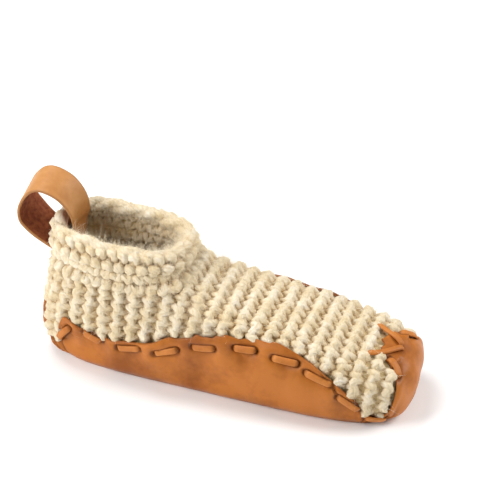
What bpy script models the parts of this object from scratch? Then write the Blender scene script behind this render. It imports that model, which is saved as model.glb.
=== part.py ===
# House slipper for either foot: a thick hand-knitted wool sock, open at a cuffed collar, stands in a
# one-piece leather sole. The sole's sides, heel flap and toe flap turn up and are laced to the knit with
# a flat leather thong, and a leather pull loop straddles the back of the collar.
# Metres, +Z up, +X towards the toe. The origin is on the floor, under the middle of the sole.

import math
from collections import namedtuple

import bmesh
import bpy
from mathutils import Vector

# Driving sizes of the knitted sock, measured over its outside
LENGTH = 0.256
BALL_WIDTH = 0.086
HEEL_WIDTH = 0.076
INSTEP_HEIGHT = 0.068
COLLAR_HEIGHT = 0.096
COLLAR_LENGTH = 0.092
COLLAR_WIDTH = 0.055
CUFF_STEP = 0.0014
KNIT_WALL = 0.0065

# Driving sizes of the leather
LEATHER = 0.0020
SIDE_HEIGHT = 0.047
CLEARANCE = 0.0003
THONG_WIDTH = 0.0040
THONG_THICKNESS = 0.0016
STITCH_LENGTH = 0.0125
STITCH_GAP = 0.0004
LOOP_WIDTH = 0.026
LOOP_RISE = 0.0235
LOOP_REACH = 0.025
LOOP_LEAN = 0.004
TAIL_INSIDE = 0.023
TAIL_OUTSIDE = 0.029
TAIL_END = 0.007
LOOP_SLACK = 0.0016
LOOP_STAND = 0.0025

# Fineness of the forms
COLUMNS = 64
LOOP_COLUMNS = 4
LOOP_STEPS = 2
SHELF = 0.004
LID_COLUMNS = 160
LEATHER_ROWS = [0.0, 0.6, 1.2, 1.8, 2.5, 3.2, 3.9, 4.6, 5.3, 6.0]
KNIT_ROWS = LEATHER_ROWS + [6.7, 7.4, 8.0, 8.5, 9.2, 9.75, 10.0, 11.0, 11.6, 12.0]

# Rings of the foot, from the flat of the sole to the throat. Each ring runs round the foot, low at the
# front and higher at the heel. back and front are shares of LENGTH from the middle, width of BALL_WIDTH
# and HEEL_WIDTH, heel_z of COLLAR_HEIGHT and front_z of INSTEP_HEIGHT. square is the outline's exponent.
FootRing = namedtuple("FootRing", "back front width heel_z front_z square")
FOOT_RINGS = [
    FootRing(-0.456, 0.460, 0.86, 0.005, 0.006, 4.4),
    FootRing(-0.485, 0.487, 0.95, 0.060, 0.080, 4.3),
    FootRing(-0.499, 0.499, 0.99, 0.170, 0.210, 4.1),
    FootRing(-0.501, 0.500, 1.01, 0.300, 0.370, 3.6),
    FootRing(-0.495, 0.476, 0.98, 0.430, 0.510, 3.2),
    FootRing(-0.489, 0.420, 0.90, 0.540, 0.605, 3.0),
    FootRing(-0.483, 0.310, 0.81, 0.630, 0.700, 2.9),
    FootRing(-0.478, 0.150, 0.75, 0.700, 0.800, 2.9),
    FootRing(-0.474, 0.010, 0.68, 0.765, 0.910, 2.9),
]

# Rings of the collar, from the throat to the rim. length and width are shares of COLLAR_LENGTH and
# COLLAR_WIDTH, heel_z and front_z of COLLAR_HEIGHT, and step of CUFF_STEP.
CollarRing = namedtuple("CollarRing", "length width heel_z front_z step")
COLLAR_RINGS = [
    CollarRing(1.03, 1.04, 0.830, 0.775, 0.0),
    CollarRing(1.00, 1.00, 0.870, 0.850, 1.0),
    CollarRing(0.99, 0.98, 0.935, 0.900, 1.0),
    CollarRing(0.96, 0.93, 1.000, 0.945, 0.4),
]
COLLAR_BACK = -0.470
COLLAR_SQUARE = 2.7

# Upper edge of the leather, from the middle of the toe (0) to the middle of the heel (1) along the widest
# outline. height is a share of SIDE_HEIGHT above the floor.
EdgePoint = namedtuple("EdgePoint", "around height")
LEATHER_EDGE = [
    EdgePoint(0.000, 0.95),
    EdgePoint(0.047, 0.94),
    EdgePoint(0.075, 0.86),
    EdgePoint(0.090, 0.69),
    EdgePoint(0.102, 0.48),
    EdgePoint(0.114, 0.24),
    EdgePoint(0.128, 0.13),
    EdgePoint(0.158, 0.16),
    EdgePoint(0.185, 0.38),
    EdgePoint(0.225, 0.62),
    EdgePoint(0.290, 0.90),
    EdgePoint(0.370, 1.06),
    EdgePoint(0.450, 1.08),
    EdgePoint(0.520, 1.02),
    EdgePoint(0.620, 0.84),
    EdgePoint(0.690, 0.68),
    EdgePoint(0.780, 0.61),
    EdgePoint(0.845, 0.72),
    EdgePoint(0.866, 0.72),
    EdgePoint(0.885, 0.30),
    EdgePoint(0.900, 0.16),
    EdgePoint(0.915, 0.34),
    EdgePoint(0.935, 0.58),
    EdgePoint(0.965, 0.73),
    EdgePoint(1.000, 0.77),
]

# Middle of each stitch on the leather, the same on both sides. around counts from the middle of the toe
# (0) to the middle of the heel (1), height is a share of SIDE_HEIGHT, and turn lifts the end nearer the
# toe, in degrees.
Stitch = namedtuple("Stitch", "name around height turn")
SIDE_STITCHES = [
    Stitch("toe_flap", 0.072, 0.74, 66.0),
    Stitch("toe_low", 0.140, 0.17, -10.0),
    Stitch("toe_rise", 0.208, 0.44, -42.0),
    Stitch("ball_front", 0.245, 0.76, -34.0),
    Stitch("ball", 0.290, 0.92, -10.0),
    Stitch("ball_back", 0.378, 0.97, 5.0),
    Stitch("waist_front", 0.515, 0.88, 9.0),
    Stitch("waist", 0.612, 0.70, 25.0),
    Stitch("heel_front", 0.693, 0.60, 18.0),
    Stitch("heel", 0.783, 0.61, -14.0),
    Stitch("heel_tab", 0.858, 0.50, 58.0),
    Stitch("heel_flap", 0.952, 0.36, 80.0),
]
HEEL_STITCH = Stitch("heel_top", 0.9999, 0.62, 0.0)

# Two long bars of the thong that lie over the toe. Each runs from a hole in the toe flap to the knit;
# levels count the rings from the sole.
Bar = namedtuple("Bar", "name around level end_around end_level")
TOE_BARS = [
    Bar("near", -0.006, 4.50, -0.080, 5.25),
    Bar("far", 0.008, 4.58, 0.060, 5.42),
]


def material(name, colour, roughness):
    """A plain finish: linear colour and roughness."""
    finish = bpy.data.materials.new(name)
    finish.use_nodes = True
    shader = finish.node_tree.nodes["Principled BSDF"]
    shader.inputs["Base Color"].default_value = (*colour, 1.0)
    shader.inputs["Roughness"].default_value = roughness
    return finish


def smooth_table(points, x):
    """Read a table of (x, y) pairs as a smooth curve that never swings past its neighbours."""
    last = len(points) - 1
    x = min(max(x, points[0][0]), points[last][0])
    k = 0
    while k < last - 1 and x > points[k + 1][0]:
        k += 1

    def slope(i):
        if i in (0, last):
            return 0.0
        before = (points[i][1] - points[i - 1][1]) / (points[i][0] - points[i - 1][0])
        after = (points[i + 1][1] - points[i][1]) / (points[i + 1][0] - points[i][0])
        if before * after <= 0.0:
            return 0.0
        return 2.0 * before * after / (before + after)

    (x0, y0), (x1, y1) = points[k], points[k + 1]
    span = x1 - x0
    t = (x - x0) / span
    start = y0 + span * slope(k) * t * (1 - t) ** 2
    end = -span * slope(k + 1) * t * t * (1 - t)
    return start + end + (y1 - y0) * t * t * (3 - 2 * t)


# One ring in metres: where it starts and ends along X, its half width at ball and heel, and its heights
Ring = namedtuple("Ring", "back front ball heel heel_z front_z square")
KNIT_BASE = LEATHER + CLEARANCE


def all_rings():
    """The rings of foot and collar in one list, in metres, bottom to top."""
    rings = []
    for r in FOOT_RINGS:
        rings.append(Ring(r.back * LENGTH, r.front * LENGTH, r.width * BALL_WIDTH / 2,
                          r.width * HEEL_WIDTH / 2, r.heel_z * COLLAR_HEIGHT,
                          r.front_z * INSTEP_HEIGHT, r.square))
    for r in COLLAR_RINGS:
        step = r.step * CUFF_STEP
        middle = COLLAR_BACK * LENGTH + COLLAR_LENGTH / 2
        half = r.length * COLLAR_LENGTH / 2 + step
        side = r.width * COLLAR_WIDTH / 2 + step
        rings.append(Ring(middle - half, middle + half, side, side, r.heel_z * COLLAR_HEIGHT,
                          r.front_z * COLLAR_HEIGHT, COLLAR_SQUARE))
    return rings


RINGS = all_rings()


def ring_at(level):
    """A ring between two of the list: level counts the rings from the sole."""
    k = min(int(level), len(RINGS) - 2)
    t = level - k
    a = RINGS[max(k - 1, 0)]
    b = RINGS[k]
    c = RINGS[k + 1]
    d = RINGS[min(k + 2, len(RINGS) - 1)]
    values = []
    for p, q, r, s in zip(a, b, c, d):
        low = (r - p) / 2
        high = (s - q) / 2
        turn = 2 * (q - r) + low + high
        bend = 3 * (r - q) - 2 * low - high
        values.append(q + low * t + bend * t * t + turn * t ** 3)
    return Ring(*values)


def outline_point(ring, angle):
    """A point of a ring; angle is 0 at the toe and pi at the heel."""
    power = 2.0 / ring.square
    c = math.cos(angle)
    s = math.sin(angle)
    along = 0.5 + 0.5 * math.copysign(abs(c) ** power, c)
    blend = along * along * (3 - 2 * along)
    half = ring.heel + (ring.ball - ring.heel) * blend
    side = half * math.copysign(abs(s) ** power, s)
    x = ring.back + (ring.front - ring.back) * along
    z = KNIT_BASE + ring.heel_z + (ring.front_z - ring.heel_z) * along
    return Vector((x, side, z))


def even_angles():
    """Angles that space the columns evenly along the widest ring."""
    fine = 2000
    widest = RINGS[3]
    lengths = [0.0]
    before = outline_point(widest, 0.0)
    for i in range(1, fine + 1):
        here = outline_point(widest, math.pi * i / fine)
        lengths.append(lengths[-1] + (here - before).length)
        before = here
    half = COLUMNS // 2
    angles = []
    i = 0
    for k in range(half + 1):
        want = lengths[-1] * k / half
        while i < fine and lengths[i + 1] < want:
            i += 1
        share = 0.0 if i >= fine else (want - lengths[i]) / (lengths[i + 1] - lengths[i])
        angles.append(math.pi * (i + share) / fine)
    return angles


ANGLES = even_angles()


def angle_at(around):
    """The angle at a place round the outline: 0 toe, 1 heel, negative on the near side."""
    if abs(around) > 1.0:
        around -= math.copysign(2.0, around)
    place = abs(around) * (len(ANGLES) - 1)
    k = min(int(place), len(ANGLES) - 2)
    angle = ANGLES[k] + (ANGLES[k + 1] - ANGLES[k]) * (place - k)
    return math.copysign(angle, around)


def knit_point(around, level):
    """A point on the outside of the sock."""
    return outline_point(ring_at(level), angle_at(around))


def level_of_height(around, height):
    """The level at which the sock's outside reaches a height."""
    low, high = 0.0, len(RINGS) - 1.0
    for _ in range(40):
        middle = (low + high) / 2
        if knit_point(around, middle).z < height:
            low = middle
        else:
            high = middle
    return (low + high) / 2


def around_of_column(column):
    """Place of a column round the outline, from 0 at the toe and negative on the near side."""
    half = COLUMNS // 2
    share = column / half
    return share if share <= 1.0 else share - 2.0


def side_point(around, height):
    """A point on the outside of the sock at a place round it and a height."""
    return knit_point(around, level_of_height(around, height))


def side_frame(around, height):
    """The point, and the directions towards the toe, up the side and outwards."""
    small = 0.004
    here = side_point(around, height)
    toward = side_point(around - math.copysign(small, around), height) - here
    up = side_point(around, height + 0.001) - side_point(around, height - 0.001)
    toward.normalize()
    up.normalize()
    out = toward.cross(up) if around < 0 else up.cross(toward)
    return here, toward, up, out.normalized()


def shell(name, row_levels, gap):
    """An open shell on the sock's form: a flat underneath, then one row of points for each level.

    gap sets it off outwards from the form, and keeps its facets parallel to the form's own.
    """
    mesh = bmesh.new()
    places = [around_of_column(c) for c in range(COLUMNS)]
    rows = [[]]
    for around in places:
        foot = knit_point(around, 0.0)
        flat = foot * (1 - SHELF / math.hypot(foot.x, foot.y))
        rows[0].append(mesh.verts.new((flat.x, flat.y, KNIT_BASE)))
    for level in row_levels:
        rows.append([mesh.verts.new(knit_point(around, level)) for around in places])
    mesh.faces.new(reversed(rows[0]))
    for low, high in zip(rows, rows[1:]):
        for c in range(COLUMNS):
            n = (c + 1) % COLUMNS
            if c < COLUMNS // 2:
                mesh.faces.new((low[c], low[n], high[n]))
                mesh.faces.new((low[c], high[n], high[c]))
            else:
                mesh.faces.new((low[c], low[n], high[c]))
                mesh.faces.new((low[n], high[n], high[c]))
    mesh.normal_update()
    moves = [v.normal * (v.calc_shell_factor() * gap) for v in mesh.verts]
    for v, move in zip(mesh.verts, moves):
        v.co += move
    return add_object(name, mesh)


def add_object(name, mesh):
    """Make an object of a bmesh and put it with the slipper's parts."""
    data = bpy.data.meshes.new(name)
    mesh.to_mesh(data)
    mesh.free()
    data.shade_smooth()
    data.set_sharp_from_angle(angle=math.radians(50))
    thing = bpy.data.objects.new(name, data)
    slipper.objects.link(thing)
    return thing


def thicken(thing, thickness, offset):
    """Give a shell its wall."""
    wall = thing.modifiers.new("Wall", "SOLIDIFY")
    wall.thickness = thickness
    wall.offset = offset
    wall.use_even_offset = True
    wall.use_rim = True


def add_lid(name):
    """The cutter that leaves the leather's edge: all that lies above a wavy skirt round the foot."""
    mesh = bmesh.new()
    top = COLLAR_HEIGHT * 1.3
    centre = mesh.verts.new((0.0, 0.0, SIDE_HEIGHT / 2))
    inner = []
    middle = []
    outer = []
    roof = []
    for column in range(LID_COLUMNS):
        share = 2.0 * column / LID_COLUMNS
        around = share if share <= 1.0 else share - 2.0
        point = outline_point(RINGS[3], angle_at(around))
        z = SIDE_HEIGHT * smooth_table(LEATHER_EDGE, abs(around))
        inner.append(mesh.verts.new((point.x * 0.82, point.y * 0.50, z)))
        middle.append(mesh.verts.new((point.x, point.y, z)))
        outer.append(mesh.verts.new((point.x * 1.12, point.y * 1.30, z)))
        roof.append(mesh.verts.new((point.x * 1.12, point.y * 1.30, top)))
    for k in range(LID_COLUMNS):
        n = (k + 1) % LID_COLUMNS
        mesh.faces.new((inner[n], inner[k], centre))
        for low, high in ((inner, middle), (middle, outer), (outer, roof)):
            mesh.faces.new((low[k], low[n], high[n]))
            mesh.faces.new((low[k], high[n], high[k]))
    mesh.faces.new(roof)
    lid = add_object(name, mesh)
    slipper.objects.unlink(lid)
    cutters.objects.link(lid)
    lid.hide_render = True
    lid.display_type = "WIRE"
    return lid


def knit_upper(finish):
    """The sock: one hollow wall, closed underneath and open at the collar."""
    sock = shell("knit_upper", KNIT_ROWS, 0.0)
    thicken(sock, KNIT_WALL, -1.0)
    sock.data.materials.append(finish)


def leather_sole(finish):
    """The leather: one piece under the foot, up its sides and up the heel and toe flaps."""
    sole = shell("leather_sole", LEATHER_ROWS, CLEARANCE)
    thicken(sole, LEATHER, 1.0)
    cut = sole.modifiers.new("Edge", "BOOLEAN")
    cut.operation = "DIFFERENCE"
    cut.object = add_lid("edge_lid")
    sole.data.materials.append(finish)


# The loop's way from the rim's inside to the wall outside, seen from the side. out is a share of
# LOOP_REACH behind the back of the collar, rise of LOOP_RISE above its rim.
LoopPoint = namedtuple("LoopPoint", "out rise")
LOOP_WAY = [
    LoopPoint(-0.40, 0.34),
    LoopPoint(-0.14, 0.78),
    LoopPoint(0.26, 0.99),
    LoopPoint(0.56, 0.94),
    LoopPoint(0.80, 0.68),
    LoopPoint(0.96, 0.34),
    LoopPoint(1.00, 0.04),
    LoopPoint(0.92, -0.26),
    LoopPoint(0.68, -0.56),
    LoopPoint(0.40, -0.80),
]


def back_curve(y, height, inwards):
    """How far forward the back of the collar's wall curves at a distance y from its middle."""
    low, high = 0.6, 1.0
    for _ in range(12):
        around = (low + high) / 2
        here, toward, up, out = side_frame(around, height)
        place = here - out * inwards
        if place.y > abs(y):
            low = around
        else:
            high = around
    return place.x - side_point(1.0, height).x - inwards


def pull_loop(finish):
    """A leather strap that comes up inside the collar, turns over its rim and ends flat outside it."""
    rim = knit_point(1.0, len(RINGS) - 1.0)
    back = rim.x
    half_strap = LEATHER / 2
    inside = []
    outside = []
    for k in range(4):
        z = rim.z - TAIL_INSIDE * (1 - k / 3.5)
        wall = side_point(1.0, z).x + KNIT_WALL
        inside.append((wall + CLEARANCE + half_strap + LOOP_SLACK + LOOP_STAND * k / 3, z))
    for k in range(3):
        z = rim.z - TAIL_OUTSIDE - TAIL_END * k / 2
        wall = side_point(1.0, z).x
        outside.append((wall - CLEARANCE - half_strap - LOOP_SLACK, z))
    way = [(back - p.out * LOOP_REACH, rim.z + p.rise * LOOP_RISE) for p in LOOP_WAY]
    points = inside + way + outside
    path = spline(points, LOOP_STEPS)
    sides = [LOOP_WIDTH * (k / LOOP_COLUMNS - 0.5) for k in range(LOOP_COLUMNS + 1)]
    mesh = bmesh.new()
    rows = []
    lengths = path_lengths(path)
    for (x, z), s in zip(path, lengths):
        share = s / lengths[-1]
        cup_in = max(0.0, 1 - max(0.0, share - 0.20) / 0.25)
        cup_out = max(0.0, 1 - max(0.0, 0.92 - share) / 0.18)
        high = min(z, rim.z - LEATHER)
        low = min(z, rim.z - TAIL_OUTSIDE + TAIL_END)
        lean = LOOP_LEAN * math.sin(math.pi * share)
        row = []
        for y in sides:
            bow = cup_in * back_curve(y, high, KNIT_WALL) if cup_in else 0.0
            if cup_out:
                bow += cup_out * back_curve(y, low, 0.0)
            row.append(mesh.verts.new((x + bow, y, z + lean * y / LOOP_WIDTH)))
        rows.append(row)
    for low, high in zip(rows, rows[1:]):
        for k in range(LOOP_COLUMNS):
            mesh.faces.new((low[k], low[k + 1], high[k + 1], high[k]))
    strap = add_object("pull_loop", mesh)
    thicken(strap, LEATHER, 0.0)
    strap.data.materials.append(finish)


def spline(points, steps):
    """A smooth curve through points of the XZ plane."""
    path = []
    last = len(points) - 1
    for k in range(last):
        a = points[max(k - 1, 0)]
        b = points[k]
        c = points[k + 1]
        d = points[min(k + 2, last)]
        for i in range(steps):
            t = i / steps
            path.append(tuple(0.5 * (2 * q + (r - p) * t + (2 * p - 5 * q + 4 * r - s) * t * t
                                     + (3 * q - p - 3 * r + s) * t ** 3)
                              for p, q, r, s in zip(a, b, c, d)))
    path.append(points[last])
    return path


def path_lengths(path):
    """Length along a path at each of its points."""
    lengths = [0.0]
    for before, here in zip(path, path[1:]):
        lengths.append(lengths[-1] + math.dist(before, here))
    return lengths


# Section of the thong, seen along it: shares of its width and of its thickness
THONG_SECTION = [(0.5, 0.0), (0.5, 0.6), (0.32, 1.0), (-0.32, 1.0), (-0.5, 0.6), (-0.5, 0.0)]


def thong_piece(name, stations, finish):
    """A short length of thong. Each station holds its point, its sideways and outward directions, and
    its width as a share of THONG_WIDTH."""
    mesh = bmesh.new()
    rings = []
    for point, across, out, width in stations:
        ring = []
        for side, lift in THONG_SECTION:
            place = point + across * (side * width * THONG_WIDTH) + out * (lift * THONG_THICKNESS)
            ring.append(mesh.verts.new(place))
        rings.append(ring)
    count = len(THONG_SECTION)
    for low, high in zip(rings, rings[1:]):
        for k in range(count):
            n = (k + 1) % count
            mesh.faces.new((low[k], low[n], high[n], high[k]))
    mesh.faces.new(reversed(rings[0]))
    mesh.faces.new(rings[-1])
    piece = add_object(name, mesh)
    piece.data.materials.append(finish)


# The bar's height over the knit along its length: share of its length, and share of the step up on to
# the leather
BAR_LIFT = [(0.0, 1.3), (0.12, 1.4), (0.30, 1.5), (0.42, 1.1), (0.56, 0.4), (0.72, 0.0), (1.0, 0.0)]

# How a stitch narrows into its holes: share of its length from the middle, and share of its width
STITCH_TAPER = [(-0.50, 0.62), (-0.40, 1.0), (0.0, 1.0), (0.40, 1.0), (0.50, 0.62)]


def walk(around, height, distance):
    """The place reached from another by going a distance towards the toe, at the same height."""
    start = side_point(around, height)
    near, far = 0.0, math.copysign(0.15, distance)
    toe = math.copysign(1.0, around)
    for _ in range(16):
        middle = (near + far) / 2
        if (side_point(around - toe * middle, height) - start).length < abs(distance):
            near = middle
        else:
            far = middle
    return around - toe * (near + far) / 2


def side_stitch(name, around, height, turn, finish):
    """A stitch of the thong, lying on the leather."""
    z = height * SIDE_HEIGHT
    lift = LEATHER + CLEARANCE + STITCH_GAP
    slope = math.radians(turn)
    steep = side_frame(around, z)[2].z
    stations = []
    for share, width in STITCH_TAPER:
        run = share * STITCH_LENGTH
        place = walk(around, z, run * math.cos(slope)) if share else around
        here, toward, up, out = side_frame(place, z + run * math.sin(slope) * steep)
        along = toward * math.cos(slope) + up * math.sin(slope)
        across = out.cross(along).normalized()
        stations.append((here + out * lift, across, out, width))
    thong_piece(name, stations, finish)


def toe_bar(name, bar, finish):
    """A long bar of the thong: on the toe flap at its start, then down on to the knit."""
    high = LEATHER + CLEARANCE + STITCH_GAP
    points = []
    for share, lift in BAR_LIFT:
        around = bar.around + (bar.end_around - bar.around) * share
        level = bar.level + (bar.end_level - bar.level) * share
        here = knit_point(around, level)
        across = knit_point(around + 0.004, level) - knit_point(around - 0.004, level)
        up = knit_point(around, level + 0.05) - knit_point(around, level - 0.05)
        out = across.cross(up).normalized()
        points.append((here + out * (CLEARANCE + lift * (high - CLEARANCE)), out))
    stations = []
    for k, (point, out) in enumerate(points):
        after = points[min(k + 1, len(points) - 1)][0]
        before = points[max(k - 1, 0)][0]
        along = (after - before).normalized()
        across = out.cross(along).normalized()
        width = 0.62 if k in (0, len(points) - 1) else 0.9
        stations.append((point, across, along.cross(across), width))
    thong_piece(name, stations, finish)


for thing in list(bpy.data.objects):
    bpy.data.objects.remove(thing, do_unlink=True)
slipper = bpy.data.collections.new("house_slipper")
cutters = bpy.data.collections.new("cutters")
bpy.context.scene.collection.children.link(slipper)
bpy.context.scene.collection.children.link(cutters)

wool = material("cream_wool_yarn", (0.79, 0.70, 0.50), 0.95)
tan = material("tan_vegetable_leather", (0.58, 0.22, 0.065), 0.5)
thong = material("tan_thong", (0.62, 0.27, 0.095), 0.55)

knit_upper(wool)
leather_sole(tan)
pull_loop(tan)
for side, sign in (("near", -1.0), ("far", 1.0)):
    for stitch in SIDE_STITCHES:
        side_stitch(f"thong_{side}_{stitch.name}", sign * stitch.around, stitch.height, stitch.turn, thong)
side_stitch(f"thong_{HEEL_STITCH.name}", HEEL_STITCH.around, HEEL_STITCH.height, HEEL_STITCH.turn, thong)
for bar in TOE_BARS:
    toe_bar(f"thong_bar_{bar.name}", bar, thong)
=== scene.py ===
# House slipper: a chunky cream wool sock, hand knitted in garter ridges, laced into a one-piece tan
# leather sole with a flat leather thong, with a leather pull loop over the back of its collar.
# Metres, +Z up, +X towards the toe, the origin on the floor under the middle of the sole.

import math

import bpy
import numpy as np
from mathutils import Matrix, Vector


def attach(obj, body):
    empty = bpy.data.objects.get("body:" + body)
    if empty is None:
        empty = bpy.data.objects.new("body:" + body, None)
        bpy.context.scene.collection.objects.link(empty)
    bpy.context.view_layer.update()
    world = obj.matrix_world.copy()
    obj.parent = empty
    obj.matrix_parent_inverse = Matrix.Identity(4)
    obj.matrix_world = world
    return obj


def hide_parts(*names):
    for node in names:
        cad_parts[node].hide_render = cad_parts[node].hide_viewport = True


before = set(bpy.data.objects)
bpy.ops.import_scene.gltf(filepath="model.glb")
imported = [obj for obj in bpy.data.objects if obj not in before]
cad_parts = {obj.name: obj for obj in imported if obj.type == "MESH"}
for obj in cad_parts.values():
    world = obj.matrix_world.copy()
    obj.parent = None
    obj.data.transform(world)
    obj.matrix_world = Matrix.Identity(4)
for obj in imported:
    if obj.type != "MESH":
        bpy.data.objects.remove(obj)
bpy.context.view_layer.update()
rng = np.random.default_rng(7)

# Camera: the photograph's view, from the near side and a little towards the toe, 35 degrees up
target = Vector((0.0129, 0.0, 0.0961))
DISTANCE = 1.2
azimuth = math.radians(18.471)
elevation = math.radians(35.0)
back = Vector((math.sin(azimuth) * math.cos(elevation), -math.cos(azimuth) * math.cos(elevation),
               math.sin(elevation)))
camera_data = bpy.data.cameras.new("camera")
camera_data.lens = 134.15
camera_data.sensor_width = 36.0
camera = bpy.data.objects.new("camera", camera_data)
camera.location = target + back * DISTANCE
camera.rotation_euler = back.to_track_quat("Z", "Y").to_euler()
bpy.context.scene.collection.objects.link(camera)
bpy.context.scene.camera = camera


# Wool yarn: thick, soft, single-ply roving, cream; painted shade makes it warmer and darker deep in the
# knit.
# Fibres run along it with a slight twist, drawn 5 mm long and 1.6 mm wide, which is coarser than real
# ones, over clumps of 2 mm and tones of 12 mm. A sheen stands for its halo.
def srgb(code):
    """Linear colour of an sRGB hex code."""
    parts = [int(code[k:k + 2], 16) / 255 for k in (0, 2, 4)]
    linear = [c / 12.92 if c <= 0.04045 else ((c + 0.055) / 1.055) ** 2.4 for c in parts]
    return (*linear, 1.0)


def node(material, kind, **values):
    """Add a shader node, set its values, and link the inputs that are given as sockets."""
    made = material.node_tree.nodes.new(kind)
    for name, value in values.items():
        if hasattr(made, name) and not isinstance(value, bpy.types.NodeSocket):
            setattr(made, name, value)
            continue
        key = int(name[1:]) if name[1:].isdigit() else name.replace("_", " ")
        socket = made.inputs[key]
        if isinstance(value, bpy.types.NodeSocket):
            material.node_tree.links.new(value, socket)
        else:
            socket.default_value = value
    return made


def new_material(name, roughness):
    """A material with its Principled shader, ready for nodes."""
    material = bpy.data.materials.new(name)
    material.use_nodes = True
    shader = material.node_tree.nodes["Principled BSDF"]
    shader.inputs["Roughness"].default_value = roughness
    return material, shader


def ramp(material, factor, stops):
    """A colour ramp of (position, hex colour) stops."""
    made = node(material, "ShaderNodeValToRGB", Fac=factor)
    elements = made.color_ramp.elements
    while len(elements) < len(stops):
        elements.new(0.5)
    for element, (place, code) in zip(elements, stops):
        element.position = place
        element.color = srgb(code)
    return made.outputs["Color"]


wool, shader = new_material("cream_wool_roving", 0.95)
uv = node(wool, "ShaderNodeUVMap", uv_map="yarn").outputs["UV"]
place = node(wool, "ShaderNodeTexCoord").outputs["Object"]
twist = node(wool, "ShaderNodeMapping", Vector=uv, Scale=(210.0, 11.0, 1.0))
fibres = node(wool, "ShaderNodeTexNoise", Vector=twist.outputs["Vector"], Scale=1.0, Detail=4.0,
              Roughness=0.6)
clumps = node(wool, "ShaderNodeTexNoise", Vector=place, Scale=480.0, Detail=4.0)
tone = node(wool, "ShaderNodeTexNoise", Vector=place, Scale=85.0, Detail=3.0)
mixed = node(wool, "ShaderNodeMath", operation="ADD", i0=fibres.outputs["Fac"],
             i1=tone.outputs["Fac"]).outputs["Value"]
halved = node(wool, "ShaderNodeMath", operation="MULTIPLY", i0=mixed, i1=0.5).outputs["Value"]
cream = ramp(wool, halved, [(0.34, "D2BA8D"), (0.50, "E3D2B1"), (0.64, "EDE3D0")])
# Painted shade: yarn deep in the wall and on its inward side is mixed towards a warm, darker tan
painted_shade = node(wool, "ShaderNodeAttribute", attribute_name="painted_shade").outputs["Fac"]
colour = node(wool, "ShaderNodeMix", data_type="RGBA", i0=painted_shade, i6=cream, i7=srgb("BE985A"))
wool.node_tree.links.new(colour.outputs[2], shader.inputs["Base Color"])
shader.inputs["Sheen Weight"].default_value = 0.25
shader.inputs["Sheen Roughness"].default_value = 0.5
shader.inputs["Sheen Tint"].default_value = srgb("FFF6E6")
fine = node(wool, "ShaderNodeBump", Height=clumps.outputs["Fac"], Strength=0.8, Distance=0.0009)
along_yarn = node(wool, "ShaderNodeBump", Height=fibres.outputs["Fac"], Strength=1.0,
                  Distance=0.0012, Normal=fine.outputs["Normal"])
wool.node_tree.links.new(along_yarn.outputs["Normal"], shader.inputs["Normal"])

# The sock's form, the same as the solid's: rings from the sole (level 0) to the throat (8) and the rim
# (12), in shares of the sizes here. A ring of the foot is its back, front, half width, height at the
# heel and at the front, and squareness; one of the collar is its length, width, the same two heights
# and how far it steps out.
BASE = 0.0023
SOCK_LENGTH = 0.256
BALL_HALF = 0.043
HEEL_HALF = 0.038
RIM_HEIGHT = 0.096
FRONT_HEIGHT = 0.068
COLLAR_HALF = 0.046
COLLAR_SIDE = 0.0275
CUFF_STEP = 0.0014
FOOT = [(-0.456, 0.460, 0.86, 0.005, 0.006, 4.4), (-0.485, 0.487, 0.95, 0.060, 0.080, 4.3),
        (-0.499, 0.499, 0.99, 0.170, 0.210, 4.1), (-0.501, 0.500, 1.01, 0.300, 0.370, 3.6),
        (-0.495, 0.476, 0.98, 0.430, 0.510, 3.2), (-0.489, 0.420, 0.90, 0.540, 0.605, 3.0),
        (-0.483, 0.310, 0.81, 0.630, 0.700, 2.9), (-0.478, 0.150, 0.75, 0.700, 0.800, 2.9),
        (-0.474, 0.010, 0.68, 0.765, 0.910, 2.9)]
COLLAR = [(1.03, 1.04, 0.830, 0.775, 0.0), (1.00, 1.00, 0.870, 0.850, 1.0),
          (0.99, 0.98, 0.935, 0.900, 1.0), (0.96, 0.93, 1.000, 0.945, 0.4)]
RINGS = [(back * SOCK_LENGTH, front * SOCK_LENGTH, wide * BALL_HALF, wide * HEEL_HALF,
          heel_z * RIM_HEIGHT, front_z * FRONT_HEIGHT, square)
         for back, front, wide, heel_z, front_z, square in FOOT]
for length, wide, heel_z, front_z, step in COLLAR:
    middle = -0.470 * SOCK_LENGTH + COLLAR_HALF
    half = length * COLLAR_HALF + step * CUFF_STEP
    side = wide * COLLAR_SIDE + step * CUFF_STEP
    RINGS.append((middle - half, middle + half, side, side, heel_z * RIM_HEIGHT,
                  front_z * RIM_HEIGHT, 2.7))
RINGS = np.array(RINGS)


def ring_at(level):
    """Values of the rings at any levels, on a smooth curve through them."""
    level = np.asarray(level, float)
    k = np.clip(level.astype(int), 0, len(RINGS) - 2)
    t = (level - k)[..., None]
    a, b = RINGS[np.maximum(k - 1, 0)], RINGS[k]
    c, d = RINGS[k + 1], RINGS[np.minimum(k + 2, len(RINGS) - 1)]
    low, high = (c - a) / 2, (d - b) / 2
    return b + low * t + (3 * (c - b) - 2 * low - high) * t ** 2 + (2 * (b - c) + low + high) * t ** 3


def form(level, angle):
    """Points on the outside of the sock; angle is 0 at the toe and pi at the heel, negative near."""
    ring = ring_at(level)
    power = 2.0 / ring[..., 6]
    c, s = np.cos(angle), np.sin(angle)
    along = 0.5 + 0.5 * np.sign(c) * np.abs(c) ** power
    blend = along * along * (3 - 2 * along)
    half = ring[..., 3] + (ring[..., 2] - ring[..., 3]) * blend
    x = ring[..., 0] + (ring[..., 1] - ring[..., 0]) * along
    z = BASE + ring[..., 4] + (ring[..., 5] - ring[..., 4]) * along
    return np.stack([x, half * np.sign(s) * np.abs(s) ** power, z], -1)


def unit(vectors):
    """Vectors of length one."""
    return vectors / np.maximum(np.linalg.norm(vectors, axis=-1, keepdims=True), 1e-12)


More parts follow.
